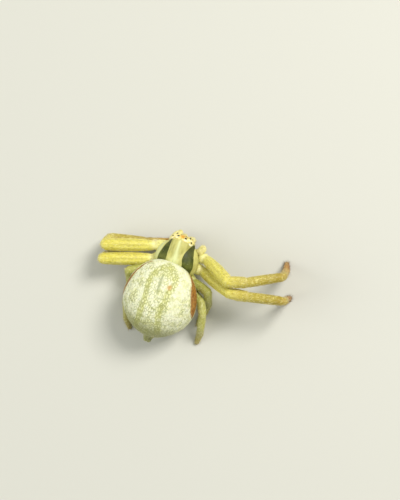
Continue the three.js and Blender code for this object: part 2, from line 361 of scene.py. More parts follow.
def furrows(index, share, angle):
    """1 in the furrows of thigh, knee and shin, 0 between them and at the joints."""
    middle = ((index >= THIGH) & (index <= SHIN)) * np.sin(np.pi * share) ** 0.5
    return middle * (0.5 + 0.5 * np.cos(FURROWS * angle + FURROW_TURN)) ** 2


def brown_edge(index, share, angle, normals):
    """The front edge of a folded leg: along the top of its thigh, and down its shin."""
    thigh = hill(angle, THIGH_EDGE["angle"], THIGH_EDGE["width"]) * (index == THIGH)
    thigh *= ease(0.05, 0.2, share)
    shin = ease(0.5, 0.85, normals @ FRONT_UP) * ((index == KNEE) | (index == SHIN))
    return np.maximum(thigh, shin)


def unrolled(line, index, share, angle):
    """A place for each point as if the leg were straight, for grain that runs along it."""
    lengths = np.linalg.norm(np.diff(line, axis=0), axis=1)
    reached = np.concatenate([[0], np.cumsum(lengths)])
    run = reached[index] + share * lengths[index]
    girth = GRAIN_GIRTH * np.stack([np.cos(angle), np.sin(angle)], axis=1)
    return np.column_stack([GRAIN_STRETCH * run, girth])


# %% Leg skins
FLOOR_CLEARANCE = 0.002
LEG_VOXEL = {"long": 0.045, "short": 0.04}


def shape_leg(skin, leg):
    """The relief of one leg, with the labels that its colours need."""
    line = leg["line"]
    places, normals = corners(skin), directions(skin)
    index, share, offset = along_line(places, line)
    angle = turn_round_leg(line, index, offset)
    size = 1.0 if leg["long"] else SHORT_LEG_SIZE
    push, membrane = joint_relief(places, line, size)
    groove = furrows(index, share, angle)
    push -= FURROW_DEPTH * size * groove
    places += normals * push[:, None]
    places[:, 2] = np.maximum(places[:, 2], FLOOR_CLEARANCE)
    move_corners(skin, places)
    folded = leg["long"] and line[-1][0] > 0
    label(skin, "down_leg", (index + share) / (len(line) - 1))
    label(skin, "membrane", membrane)
    label(skin, "furrow", groove)
    label(skin, "edge", folded * brown_edge(index, share, angle, normals))
    layer = skin.data.attributes.new("grain_place", "FLOAT_VECTOR", "POINT")
    sheet = unrolled(line, index, share, angle)
    layer.data.foreach_set("vector", sheet.astype(np.float32).ravel())


for name, leg in LEGS.items():
    voxel = LEG_VOXEL["long" if leg["long"] else "short"]
    leg["skin"] = skin_from(f"{name}_skin", leg["nodes"], voxel, rounds=16)
    shape_leg(leg["skin"], leg)

# %% [markdown]
# ## Eyes in the shield
#
# The carapace is one shield over head and thorax. The eyes sit in it in two curved rows,
# those at the corners on low bumps, and each lens sits in a rim. The rims could be modelled
# as eight rings. Here the shield's copy includes the eyeballs, so that the remesh joins
# them in one skin, and that skin is then sunk under each lens until only its rim stands.

# %% Eyes: their places, sunk lenses and pale rims
EYE_NODES = sorted(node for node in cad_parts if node.startswith("eye_"))
HEAD_MIDDLE = np.array([0, -3.9, 1.9])
EYE_ZONE = 0.4
SINK_LEVEL = 0.15
LENS_EDGE = 0.95
RIM = {"place": 1.3, "width": 0.3}
CRESCENT = {"place": 2.1, "large": 0.95, "small": 0.5}
EYES = {}
for node in EYE_NODES:
    low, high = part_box(node)
    centre = np.array((low + high) / 2) * MODEL_SCALE
    EYES[node] = {
        "centre": centre,
        "radius": float(high.x - low.x) / 2 * MODEL_SCALE,
        "look": unit(centre - HEAD_MIDDLE),
        "large": "rear_middle" in node,
    }
print("eye radii in mm:", {node: round(eye["radius"], 3) for node, eye in EYES.items()})


def open_eyes(places):
    """Sink the skin under each lens, so that the lens stands out of a raised rim."""
    for eye in EYES.values():
        away = places - eye["centre"]
        height = away @ eye["look"]
        above = height - SINK_LEVEL * eye["radius"]
        out = np.linalg.norm(away - height[:, None] * eye["look"], axis=1) / eye["radius"]
        near = np.linalg.norm(away, axis=1) < EYE_ZONE
        sink = above * ease(RIM["place"], LENS_EDGE, out) * (above > 0) * near
        places = places - sink[:, None] * eye["look"]
    return places


def eye_rings(places):
    """How near each point is to an eye's rim, and to the pale crescent behind the eye."""
    rims, crescents = np.zeros(len(places)), np.zeros(len(places))
    for eye in EYES.values():
        away = places - eye["centre"]
        reach = np.linalg.norm(away, axis=1)
        out = reach / eye["radius"]
        rims = np.maximum(rims, hill(out, RIM["place"], RIM["width"]))
        behind = ease(0.1, 0.6, away[:, 1] / reach)
        width = CRESCENT["large" if eye["large"] else "small"]
        crescents = np.maximum(crescents, hill(out, CRESCENT["place"], width) * behind)
    return rims, crescents


# %% [markdown]
# ## Head and thorax
#
# The shield has a groove on each side where the head meets the thorax, a pit on the
# midline, and faint rays that run out from it. They could be sculpted, but a sculpted
# stroke is hard to write down. So each is a short formula on the spider's own left to right
# and front to back, and pushes the vertices in where the shield faces up.

# %% Grooves of the shield
NECK = {"depth": 0.035, "width": 0.1, "x": 0.34, "y": -4.0, "slope": 0.4}
PIT = {"depth": 0.05, "width": 0.09, "y": -3.0, "length": 0.28}
RAYS = {"depth": 0.012, "width": 0.12, "y": -3.1, "angles": (-0.9, -0.3, 0.35)}


def shield_push(x, y, top):
    """How far the grooves push the shield in, where it faces up."""
    side = np.abs(x)
    neck_line = side - NECK["x"] - NECK["slope"] * (y - NECK["y"])
    push = -NECK["depth"] * hill(neck_line, 0, NECK["width"]) * ease(-4.2, -3.9, y)
    push -= PIT["depth"] * hill(x, 0, PIT["width"]) * hill(y, PIT["y"], PIT["length"])
    for angle in RAYS["angles"]:
        ray_line = side * math.sin(angle) - (y - RAYS["y"]) * math.cos(angle)
        push -= RAYS["depth"] * hill(ray_line, 0, RAYS["width"]) * ease(0.45, 0.8, side)
    return push * top


# %% [markdown]
# ## Markings of the shield
#
# Two dark olive bands run down the sides of the shield, with a pale streak between them and
# a cream field round the eyes, which carries one orange spot. One band and its mirror image
# would be simpler, but the two are not quite alike on this spider. So each has its own
# edges, as distances from the midline at a few stations.

# %% Labels of the shield
BAND_STATIONS = [-4.7, -4.42, -4.2, -3.85, -3.5, -3.2, -2.95, -2.6, -2.2]
LEFT_BAND = {
    "inner": [0.66, 0.62, 0.6, 0.59, 0.54, 0.49, 0.46, 0.47, 0.5],
    "outer": [0.66, 0.7, 0.84, 0.98, 1.06, 1.12, 1.15, 1.17, 1.16],
}
RIGHT_BAND = {
    "inner": [0.86, 0.82, 0.74, 0.66, 0.62, 0.66, 0.74, 0.8, 0.86],
    "outer": [0.86, 0.92, 1.02, 1.18, 1.32, 1.42, 1.45, 1.38, 1.26],
}
FIELD_EDGE = {
    "x": [-1.1, -0.8, -0.63, -0.34, -0.03, 0.3, 0.52, 0.8, 1.1],
    "y": [-4.55, -4.6, -4.6, -4.47, -4.58, -4.44, -4.42, -4.36, -4.3],
}
STREAK_CENTRE = {"y": [-4.6, -3.8, -3.2, -2.4], "x": [-0.04, -0.1, -0.16, -0.14]}
STREAK_WIDTH = {"y": [-4.6, -3.8, -3.3, -2.9], "width": [0.08, 0.12, 0.2, 0.4]}
HEAD_SPOT = (-0.04, -4.83)
HEM_HEIGHTS = (1.7, 1.85)
FIELD_HEIGHTS = (1.6, 1.8)
SPOT_HEIGHTS = (2.3, 2.45)
SKIRT_HEIGHTS = (1.2, 1.7)


def band_edge(edge, x, y):
    """How far from the midline one edge of the dark bands lies, at each point."""
    left = np.interp(y, BAND_STATIONS, LEFT_BAND[edge])
    right = np.interp(y, BAND_STATIONS, RIGHT_BAND[edge])
    return np.where(x > 0, left, right)


def pale_streak(x, y, above_hem):
    """The streak down the middle, and the pale left margin of the shield."""
    centre = np.interp(y, STREAK_CENTRE["y"], STREAK_CENTRE["x"])
    width = np.interp(y, STREAK_WIDTH["y"], STREAK_WIDTH["width"])
    streak = hill(x, centre, width) * ease(-4.65, -4.4, y) * above_hem
    left_margin = 0.7 * (x > 0) * ease(1.0, 1.25, np.abs(x)) * ease(-2.3, -2.9, y)
    return np.maximum(streak, left_margin)


def label_head(skin):
    """Where the shield is dark, pale or orange, from places on the spider itself."""
    places = corners(skin)
    x, y, z = places.T
    side = np.abs(x)
    inner, outer = band_edge("inner", x, y), band_edge("outer", x, y)
    above_hem = ease(*HEM_HEIGHTS, z)
    band = ease(inner - 0.05, inner + 0.05, side) * (1 - ease(outer - 0.04, outer + 0.05, side))
    field_y = np.interp(x, FIELD_EDGE["x"], FIELD_EDGE["y"])
    field = ease(0.04, -0.04, y - field_y) * ease(*FIELD_HEIGHTS, z)
    spot = np.hypot(x - HEAD_SPOT[0], (y - HEAD_SPOT[1]) * 1.1)
    rims, crescents = eye_rings(places)
    label(skin, "dark_band", band * (1 - field) * above_hem)
    label(skin, "dark_front", band * ease(-3.6, -4.2, y))
    label(skin, "eye_field", field)
    label(skin, "orange_spot", ease(0.24, 0.08, spot) * ease(*SPOT_HEIGHTS, z))
    label(skin, "pale_streak", pale_streak(x, y, above_hem))
    label(skin, "eye_rim", rims)
    label(skin, "eye_crescent", crescents)
    label(skin, "underside", 1 - ease(*SKIRT_HEIGHTS, z))


# %% Head and thorax skin
head_skin = skin_from("head_skin", ["cephalothorax", *EYE_NODES], voxel=0.026, rounds=36)
head_places, head_normals = corners(head_skin), directions(head_skin)
facing_up = ease(0.15, 0.6, head_normals[:, 2])
head_push = shield_push(head_places[:, 0], head_places[:, 1], facing_up)
move_corners(head_skin, open_eyes(head_places + head_normals * head_push[:, None]))
label_head(head_skin)
print("deepest groove of the shield, in mm:", round(float(-head_push.min()), 3))

# %% [markdown]
# ## Abdomen
#
# A female heavy with eggs has a tight, round abdomen, with faint dimples on the back where
# muscles pull the skin in, and soft folds toward the tail. They could be sculpted, but they
# are so shallow that hills and waves over the spider's own directions give them as well.

# %% Abdomen skin
DIMPLES = [(-0.72, -1.3), (0.18, -1.25), (-0.86, -0.2), (0.1, -0.15)]
DIMPLE_DEPTH = 0.035
DIMPLE_WIDTH = 0.1
FOLD_RISE = 0.012
LUMP_RISE = 0.012


def shape_abdomen(skin):
    """Faint dimples on the back, soft folds toward the tail and slight lumps all over."""
    places, normals = corners(skin), directions(skin)
    x, y, z = places.T
    push = np.zeros(len(places))
    for spot_x, spot_y in DIMPLES:
        out = np.hypot(x - spot_x, y - spot_y)
        push -= DIMPLE_DEPTH * hill(out, 0, DIMPLE_WIDTH) * ease(3, 3.5, z)
    folds = np.sin(9 * y + 2.2 * np.sin(1.7 * x)) * ease(0.6, 2.4, y) * ease(3.9, 3.0, z)
    lumps = np.sin(5.1 * x + 1.3) * np.sin(4.3 * y + 0.4) * np.sin(4.7 * z + 2.0)
    push += FOLD_RISE * folds + LUMP_RISE * lumps
    places += normals * push[:, None]
    places[:, 2] = np.maximum(places[:, 2], FLOOR_CLEARANCE)
    move_corners(skin, places)


abdomen_skin = skin_from("abdomen_skin", ["abdomen", "pedicel"], voxel=0.055, rounds=18)
shape_abdomen(abdomen_skin)

# %% [markdown]
# ## Markings of the abdomen
#
# The skin is white through tiny cells, with two yellow-green bands down the back, a grey
# mark over the heart, one orange spot and a rust-red stripe on each flank. The marks are
# drawn as lines, in millimetres from the flat under the belly, and each vertex is labelled
# by its distance from them. Lines need far fewer numbers than a painted picture. On the
# back they are measured as seen from above, and on the steep flanks in all three directions.

# %% Lines of the markings
BACK_BANDS = [
    [
        (0.07, -2.38), (0.3, -2.06), (0.54, -1.48), (0.56, -1.09), (0.49, -0.66),
        (0.4, -0.24), (0.36, 0.4), (0.36, 0.9), (0.38, 1.5), (0.46, 2.1),
    ],
    [
        (-0.12, -2.52), (-0.53, -2.45), (-0.95, -2.05), (-1.15, -1.67), (-1.17, -1.17),
        (-1.05, -0.75), (-1.1, -0.31), (-1.03, 0.08), (-0.9, 0.5), (-0.94, 0.93),
        (-1.08, 1.4), (-1.1, 2.0),
    ],
]
BAND_WIDTH = 0.15
HEART_MARK = [(-0.19, -1.8), (-0.23, -1.27), (-0.28, -0.97), (-0.34, -0.5)]
HEART_WIDTHS = [0.06, 0.1, 0.08, 0.05]
BACK_SPOT = (-0.97, -1.17)
RIGHT_STRIPE = [
    (-1.44, -2.5, 2.5), (-1.92, -2.06, 2.66), (-2.27, -1.5, 2.7),
    (-2.5, -0.92, 2.62), (-2.65, -0.35, 2.44), (-2.7, 0.1, 2.2),
]
RIGHT_STRIPE_WIDTHS = [0.14, 0.27, 0.44, 0.49, 0.41, 0.2]
LEFT_STRIPE = [
    (1.18, -2.36, 3.28), (1.72, -1.76, 3.24), (2.08, -0.88, 3.2),
    (2.28, -0.16, 3.06), (2.4, 0.44, 2.84), (2.42, 0.9, 2.56),
]
LEFT_STRIPE_WIDTHS = [0.07, 0.15, 0.22, 0.26, 0.22, 0.1]


def nearness(places, line, widths):
    """1 on a line, 0 at twice the line's own width away, for a material to cut off."""
    depth = np.zeros(len(places))
    for i in range(len(line) - 1):
        start, end = np.array(line[i]), np.array(line[i + 1])
        span = end - start
        t = np.clip((places - start) @ span / (span @ span), 0, 1)
        reach = np.linalg.norm(places - start - t[:, None] * span, axis=1)
        width = widths[i] + (widths[i + 1] - widths[i]) * t
        depth = np.maximum(depth, 1 - reach / (2 * width))
    return depth


# %% Labels of the abdomen
def back_bands(places):
    """The two bands, and the faint wash between them near the front."""
    x, y = places[:, 0], places[:, 1]
    bands = [nearness(places[:, :2], line, [BAND_WIDTH] * len(line)) for line in BACK_BANDS]
    between_sides = ease(-1.1, -0.8, x) * ease(0.5, 0.2, x)
    near_front = ease(-2.5, -2.2, y) * ease(-1.4, -1.9, y)
    return np.maximum(np.maximum(*bands), 0.3 * between_sides * near_front)


def clear_skin(x, y, z, upper):
    """Where few lines show between the cells: right of the bands, in front, and low down."""
    beside_bands = hill(x, -1.75, 0.35) * ease(1.2, 0.2, y)
    front = ease(-2.1, -2.6, y)
    return np.maximum((beside_bands + front) * upper, 0.7 * ease(2.9, 1.9, z))


places = corners(abdomen_skin)
x, y, z = places.T
upper = ease(2.6, 3.2, z)
spot = np.hypot(x - BACK_SPOT[0], (y - BACK_SPOT[1]) * 0.8)
# Painted shade: the belly and the slope toward the tail darken to dull olive, where shade falls.
painted_belly_shade = 0.75 * (1 - ease(0.5, 1.9, z))
painted_tail_shade = ease(0.95, 2.35, y + 0.12 * x + 0.25 * (3.4 - z))
heart = nearness(places[:, :2], HEART_MARK, HEART_WIDTHS)
label(abdomen_skin, "back_band", back_bands(places) * upper)
label(abdomen_skin, "heart_mark", heart * upper)
stripes = {
    "right_stripe": nearness(places, RIGHT_STRIPE, RIGHT_STRIPE_WIDTHS),
    "left_stripe": nearness(places, LEFT_STRIPE, LEFT_STRIPE_WIDTHS),
}
for name, stripe in stripes.items():
    label(abdomen_skin, name, stripe)
    print(name, "lies on", round(100 * float((stripe > 0).mean()), 1), "% of the vertices")
label(abdomen_skin, "orange_spot", ease(0.24, 0.04, spot) * upper)
label(abdomen_skin, "painted_shade", np.maximum(painted_belly_shade, painted_tail_shade))
label(abdomen_skin, "dashes", ease(-1.0, 1.2, y))
label(abdomen_skin, "clear", clear_skin(x, y, z, upper))

# %% [markdown]
# ## Mouth parts
#
# Two stout jaws hang below the face, each with a short fang at its tip, and the two palps
# look like small legs beside them. They could share the shield's skin, but they are
# separate on the animal, so each keeps a skin of its own. A palp's last joint is left
# smooth, because the female's has no bulb.

# %% Jaw and palp skins
MOUTH_PARTS = ["chelicera_left", "chelicera_right", "pedipalp_left", "pedipalp_right"]
FANG_ROOT = 0.98
FANG_DARK = 0.8
mouth_skins = {}
for node in MOUTH_PARTS:
    skin = skin_from(f"{node}_skin", [node], voxel=0.03, rounds=8, swell=0.03)
    fang = ease(FANG_ROOT, FANG_DARK, corners(skin)[:, 2])
    label(skin, "fang", fang * node.startswith("chelicera"))
    mouth_skins[node] = skin

# %% [markdown]
# ## Eyes
#
# Each eye is a single dark lens, like a wet bead. A sphere is added where the solid
# eyeball sits, and its front is drawn out a little along the way that the eye looks, so
# that the highlight moves as on a real cornea. The middle eyes of the rear row stand out
# most, so their lenses are a little larger than the solids, and the others a little smaller.

# %% Eyeballs
LARGE_LENS = 1.18
SMALL_LENS = 0.84
CORNEA_BULGE = 0.12


def make_eye(node, eye):
    """A glossy lens at one eye's place."""
    radius = eye["radius"] * (LARGE_LENS if eye["large"] else SMALL_LENS)
    bpy.ops.object.select_all(action="DESELECT")
    bpy.ops.mesh.primitive_uv_sphere_add(
        segments=24, ring_count=16, radius=radius, location=eye["centre"]
    )
    ball = bpy.context.object
    ball.name = f"{node}_lens"
    bpy.ops.object.transform_apply(location=True, rotation=True, scale=True)
    places = corners(ball)
    height = np.maximum((places - eye["centre"]) @ eye["look"], 0)
    bulge = CORNEA_BULGE * height**2 / eye["radius"]
    move_corners(ball, places + bulge[:, None] * eye["look"])
    return ball


lenses = {node: make_eye(node, eye) for node, eye in EYES.items()}
print("lenses:", len(lenses))

# %% [markdown]
# ## Hairs, spines and claws
#
# The hairs are too fine for the solids. Blender's own hair curves leave no mesh to keep, so
# one hair is modelled as a slim cone, and is then copied by the hundred into one mesh, each
# copy bent and turned to the lie of the coat at its root. Every hair gets a small patch on a
# map of the skin, so that a baked picture keeps each hair's own colour. The draws are
# seeded, so every run grows the same hairs.

# %% One hair
def make_hair():
    """A unit hair: one long, its root four-sided with radius 1, and cut halfway to bend."""
    bpy.ops.object.select_all(action="DESELECT")
    bpy.ops.mesh.primitive_cone_add(
        vertices=4, radius1=1.0, radius2=0.0, depth=1.0, location=(0, 0, 0.5)
    )
    hair = bpy.context.object
    bpy.ops.object.transform_apply(location=True, rotation=True, scale=True)
    bpy.ops.object.mode_set(mode="EDIT")
    bpy.ops.mesh.select_all(action="SELECT")
    bpy.ops.mesh.bisect(plane_co=(0, 0, 0.5), plane_no=(0, 0, 1))
    bpy.ops.object.mode_set(mode="OBJECT")
    return hair


unit_hair = make_hair()
HAIR_PLACES = corners(unit_hair)
HAIR_FACES = [list(face.vertices) for face in unit_hair.data.polygons]
bpy.data.objects.remove(unit_hair)
print("one hair:", len(HAIR_PLACES), "corners,", len(HAIR_FACES), "faces")

# %% Many hairs in one mesh
MAP_PATCH = 0.0015


def grow(name, roots, leans, lengths, radius, bend, maps, shade):
    """One mesh of hairs, each with its own lean, length, radius, bend, map place and shade."""
    count, size = len(roots), len(HAIR_PLACES)
    leans = unit(leans)
    side = unit(np.cross(leans, [0.3, 0.2, 1.0]))
    other = np.cross(leans, side)
    width_x, width_y, level = HAIR_PLACES.T
    places = roots[:, None] + leans[:, None] * (level * lengths[:, None])[..., None]
    places += side[:, None] * (width_x * radius[:, None])[..., None]
    places += other[:, None] * (width_y * radius[:, None])[..., None]
    places += bend[:, None] * (level**2 * lengths[:, None])[..., None]
    places[..., 2] = np.maximum(places[..., 2], FLOOR_CLEARANCE)
    faces = [[v + i * size for v in face] for i in range(count) for face in HAIR_FACES]
    mesh = bpy.data.meshes.new(name)
    mesh.from_pydata(places.reshape(-1, 3).tolist(), [], faces)
    corner = np.concatenate(HAIR_FACES)
    patch = np.tile(HAIR_PLACES[corner][:, :2] * MAP_PATCH, (count, 1))
    spots = maps[np.repeat(np.arange(count), len(corner))] + patch
    layer = mesh.uv_layers.new(name="OFBake")
    layer.data.foreach_set("uv", spots.astype(np.float32).ravel())
    coat = bpy.data.objects.new(name, mesh)
    bpy.context.scene.collection.objects.link(coat)
    label(coat, "shade", np.repeat(shade, size))
    print(name, "has", count, "hairs")
    return coat


# %% Roots on a skin and places on a map
def scatter(skin, count, seed, weight=None):
    """Roots spread over a skin by face area and weight, with their normals."""
    faces = skin.data.polygons
    draw = np.random.default_rng(seed)
    centres, normals = read_rows(faces, "center"), read_rows(faces, "normal")
    areas = np.empty(len(faces), np.float32)
    faces.foreach_get("area", areas)
    chance = areas.astype(float)
    if weight is not None:
        chance = chance * weight(centres)
    chosen = draw.choice(len(chance), size=count, replace=False, p=chance / chance.sum())
    return centres[chosen], normals[chosen], draw


def wrap_map(offsets, share, island):
    """A place on the leg's unwrap: round the leg one way, along it the other."""
    turn = (np.arctan2(offsets[:, 2], offsets[:, 0] + offsets[:, 1]) / (2 * np.pi)) % 1.0
    return np.stack([(island + 0.05 + 0.9 * turn) / len(LEGS), 0.02 + 0.96 * share], axis=1)


# %% [markdown]
# ## Leg hairs and spines
#
# Short hairs lie along the legs toward the claws. Each leans mostly down the leg and a
# little off the skin. Under shin and heel the front legs also carry pairs of longer spines,
# with which the spider holds what she catches, and the rear legs a few small ones. The
# hairs are scattered by chance, but the spines stand in even pairs, as on the animal.

# %% Hairs of the legs
LEG_HAIRS = {"long": 900, "short": 380}
LEG_HAIR_STAND = (0.35, 0.6)
LEG_HAIR_LENGTH = (0.1, 0.19)
LEG_HAIR_RADIUS = (0.008, 0.012)
LEG_HAIR_BEND = 0.25
LEG_SEED = 40
ROOT_DEPTH = 0.012
coats = []
for island, (name, leg) in enumerate(LEGS.items()):
    line = leg["line"]
    count = LEG_HAIRS["long" if leg["long"] else "short"]
    roots, normals, draw = scatter(leg["skin"], count, LEG_SEED + island)
    index, share, offset = along_line(roots, line)
    spans = unit(line[index + 1] - line[index])
    down_leg = (index + share) / (len(line) - 1)
    stand = draw.uniform(*LEG_HAIR_STAND, count)
    leans = spans + normals * stand[:, None] + 0.12 * draw.normal(size=(count, 3))
    lengths = draw.uniform(*LEG_HAIR_LENGTH, count) * (1 + 0.7 * ease(0.6, 0.9, down_leg))
    radius = draw.uniform(*LEG_HAIR_RADIUS, count)
    maps = wrap_map(offset, down_leg, island)
    shade = ease(0.55, 0.85, down_leg) if leg["long"] else 0.2 * down_leg
    roots = roots - normals * ROOT_DEPTH
    bend = spans * LEG_HAIR_BEND
    coats.append(grow(f"{name}_hairs", roots, leans, lengths, radius, bend, maps, shade))

# %% Spines of the legs
SPINE_BEND = 0.1
LONG_SPINES = {"leg_radius": {SHIN: 0.27, HEEL: 0.22}, "pairs": 4, "length": 0.42, "radius": 0.016}
SHORT_SPINES = {"leg_radius": {SHIN: 0.19}, "pairs": 2, "length": 0.26, "radius": 0.011}


def spine_pairs(line, kind):
    """Roots, leans and places down the leg of the spine pairs under a leg."""
    roots, leans, down_leg = [], [], []
    for segment, leg_radius in kind["leg_radius"].items():
        start, end = line[segment], line[segment + 1]
        span = unit(end - start)
        across = unit(np.cross(span, [0, 0, 1.0]))
        below = np.cross(span, across)
        if below[2] > 0:
            below = -below
        for pair in range(kind["pairs"]):
            t = 0.2 + 0.7 * pair / kind["pairs"]
            for side in (-1, 1):
                out = side * across * 0.75 + below * 0.66
                roots.append(start + (end - start) * t + out * leg_radius)
                leans.append(span * 0.9 + out * 0.7)
                down_leg.append((segment + t) / (len(line) - 1))
    return np.array(roots), np.array(leans), np.array(down_leg)


for island, (name, leg) in enumerate(LEGS.items()):
    kind = LONG_SPINES if leg["long"] else SHORT_SPINES
    roots, leans, down_leg = spine_pairs(leg["line"], kind)
    lengths = np.full(len(roots), kind["length"])
    radius = np.full(len(roots), kind["radius"])
    maps = wrap_map(leans, down_leg, island)
    shade = ease(0.5, 0.8, down_leg) if leg["long"] else 0.3 * down_leg
    bend = leans * SPINE_BEND
    coats.append(grow(f"{name}_spines", roots, leans, lengths, radius, bend, maps, shade))

# %% [markdown]
# ## Claws and tufts
#
# Each foot ends in two small curved claws. Round those of the front legs stands a tuft of
# short hairs, which darkens the tips. A claw is the unit hair again, only thicker and bent
# more, so no second shape is needed.

# %% Claws
CLAW_LENGTH = 0.2
CLAW_RADIUS = 0.028
CLAW_BEND = -0.5
UP = np.array([0, 0, 1.0])


def end_span(line):
    """The direction of a leg's last segment."""
    return unit(line[-1] - line[-2])


claw_roots, claw_leans, claw_maps = [], [], []
for island, leg in enumerate(LEGS.values()):
    span = end_span(leg["line"])
    across = unit(np.cross(span, UP))
    for side in (-1, 1):
        claw_roots.append(leg["line"][-1] + across * side * 0.06 + UP * 0.05)
        claw_leans.append(span + across * side * 0.25 + UP * 0.15)
        claw_maps.append([(island + 0.5) / len(LEGS) + side * 0.02, 0.99])
every_claw = np.ones(len(claw_roots))
coats.append(
    grow(
        "claws",
        np.array(claw_roots),
        np.array(claw_leans),
        every_claw * CLAW_LENGTH,
        every_claw * CLAW_RADIUS,
        every_claw[:, None] * UP * CLAW_BEND,
        np.array(claw_maps),
        every_claw,
    )
)

# %% Tufts round the claws of the front legs
TUFT_HAIRS = 34
TUFT_REACH = (0.05, 0.45)
TUFT_FLARE = (0.5, 1.0)
TUFT_LENGTH = (0.2, 0.4)
TUFT_SHADE = (0.55, 1.0)
TUFT_RADIUS = 0.015
TUFT_BEND = 0.2
TUFT_SEED = 90
for island, (name, leg) in enumerate(LEGS.items()):
    if not leg["long"]:
        continue
    draw = np.random.default_rng(TUFT_SEED + island)
    tip, span = leg["line"][-1], end_span(leg["line"])
    out = draw.normal(size=(TUFT_HAIRS, 3))
    out = unit(out - (out @ span)[:, None] * span)
    roots = tip - span * draw.uniform(*TUFT_REACH, (TUFT_HAIRS, 1)) + out * 0.1
    leans = span + out * draw.uniform(*TUFT_FLARE, (TUFT_HAIRS, 1))
    lengths = draw.uniform(*TUFT_LENGTH, TUFT_HAIRS)
    shade = draw.uniform(*TUFT_SHADE, TUFT_HAIRS)
    radius = np.full(TUFT_HAIRS, TUFT_RADIUS)
    bend = np.tile(span * TUFT_BEND, (TUFT_HAIRS, 1))
    maps = wrap_map(out, np.full(TUFT_HAIRS, 0.97), island)
    coats.append(grow(f"{name}_tuft", roots, leans, lengths, radius, bend, maps, shade))

# %% [markdown]
# ## Body hairs
#
# The head has a few upright hairs round the eyes, the abdomen is sprinkled with short
# sparse ones, and the mouth parts carry a thin coat. They could be spread evenly, but on
# the head they stand nearly all round the eyes, so there the draw is weighted by place.

# %% Hairs of the body
BODY_HAIR_RADIUS = 0.007
BODY_HAIR_BEND = 0.3
LENGTH_SPREAD = (0.7, 1.3)
MOUTH_SEED = 20


def round_the_face(centres):
    """How likely a hair is at each place on the head."""
    return ease(-3.9, -4.5, centres[:, 1]) * ease(1.6, 2.0, centres[:, 2]) + 0.08


def body_hairs(name, skin, count, length, seed, lie, shade, weight=None):
    """Sparse short hairs on a body skin, which lie one way."""
    roots, normals, draw = scatter(skin, count, seed, weight)
    lie = np.array(lie)
    leans = normals * 0.8 + lie + 0.2 * draw.normal(size=(count, 3))
    lengths = length * draw.uniform(*LENGTH_SPREAD, count)
    radius = np.full(count, BODY_HAIR_RADIUS)
    out = roots - corners(skin).mean(axis=0)
    turn = (np.arctan2(out[:, 0], out[:, 2]) / (2 * np.pi)) % 1.0
    level = (roots[:, 1] - roots[:, 1].min()) / np.ptp(roots[:, 1])
    maps = np.stack([0.02 + 0.96 * turn, 0.02 + 0.96 * level], axis=1)
    bend = np.tile(lie * BODY_HAIR_BEND, (count, 1))
    roots = roots - normals * 0.01
    return grow(name, roots, leans, lengths, radius, bend, maps, np.full(count, shade))


coats.append(
    body_hairs("head_hairs", head_skin, 130, 0.2, 7, (0, -0.5, 0.2), 0.25, round_the_face)
)
coats.append(body_hairs("abdomen_hairs", abdomen_skin, 900, 0.11, 8, (0, 0.7, 0), 0.1))
for number, (node, skin) in enumerate(mouth_skins.items()):
    seed = MOUTH_SEED + number
    coats.append(body_hairs(f"{node}_hairs", skin, 70, 0.14, seed, (0, -0.4, -0.4), 0.2))

# %% [markdown]
# ## Materials
#
# A living cuticle is slightly see-through, so all skins have a little subsurface light and
# a soft gloss. Colours are written as they look on a screen, from 0 to 255, and turned into
# the linear numbers that the shader uses. Each finish is then laid on like paint: a ground
# colour first, and over it one thin coat after another, each held back by a label, by
# noise, or by both.

# %% Start a material and wire its nodes
SUBSURFACE_RADIUS = (0.3, 0.25, 0.12)


def screen(red, green, blue):
    """A screen colour as linear shader numbers."""
    shares = [value / 255 for value in (red, green, blue)]
    linear = [((v + 0.055) / 1.055) ** 2.4 if v > 0.04045 else v / 12.92 for v in shares]
    return (*linear, 1.0)


def new_material(name, roughness, subsurface=0.0):
    """A principled material, and its shader to plug things into."""
    material = bpy.data.materials.new(name)
    material.use_nodes = True
    shader = material.node_tree.nodes["Principled BSDF"]
    shader.inputs["Roughness"].default_value = roughness
    shader.inputs["Subsurface Weight"].default_value = subsurface
    shader.inputs["Subsurface Radius"].default_value = SUBSURFACE_RADIUS
    shader.inputs["Subsurface Scale"].default_value = MM
    return material, shader


def add_node(material, kind, inputs=None, **settings):
    """One shader node, with its settings and its input values or links."""
    node = material.node_tree.nodes.new(kind)
    for name, value in settings.items():
        setattr(node, name, value)
    for name, value in (inputs or {}).items():
        if isinstance(value, bpy.types.NodeSocket):
            material.node_tree.links.new(value, node.inputs[name])
        else:
            node.inputs[name].default_value = value
    return node


def object_place(material):
    """Places on the piece in metres."""
    return add_node(material, "ShaderNodeTexCoord").outputs["Object"]


def give_colour(material, shader, colour):
    """Plug the finished colour into the shader."""
    material.node_tree.links.new(colour, shader.inputs["Base Color"])
    print(material.name, "nodes:", len(material.node_tree.nodes))


print("the middle of the screen's scale is", round(screen(128, 128, 128)[0], 3), "in light")

# %% Arithmetic on shader values
def reckon(material, operation, *values):
    """One step of arithmetic on shader values, kept between 0 and 1."""
    values = dict(enumerate(values))
    node = add_node(material, "ShaderNodeMath", values, operation=operation, use_clamp=True)
    return node.outputs[0]


def times(material, first, second):
    """The product of two shader values."""
    return reckon(material, "MULTIPLY", first, second)


def between(material, value, low, high):
    """Stretch a value over 0 to 1: 0 at low and 1 at high, which may be the smaller one."""
    ends = {"From Min": low, "From Max": high, "To Min": 0.0, "To Max": 1.0}
    if low > high:
        ends = {"From Min": high, "From Max": low, "To Min": 1.0, "To Max": 0.0}
    ends["Value"] = value
    node = add_node(material, "ShaderNodeMapRange", ends, interpolation_type="SMOOTHSTEP")
    return node.outputs["Result"]


def read_label(material, name):
    """The number that a skin's vertices carry under this name."""
    return add_node(material, "ShaderNodeAttribute", attribute_name=name).outputs["Fac"]


def label_share(material, name, amount):
    """A label, held back to this amount."""
    return times(material, read_label(material, name), amount)


# %% Noise, paint and relief
# A Mix node has sockets for each kind of value, and these are the ones for colours.
COLOUR_MIX = {"amount": 0, "below": 6, "above": 7, "result": 2}


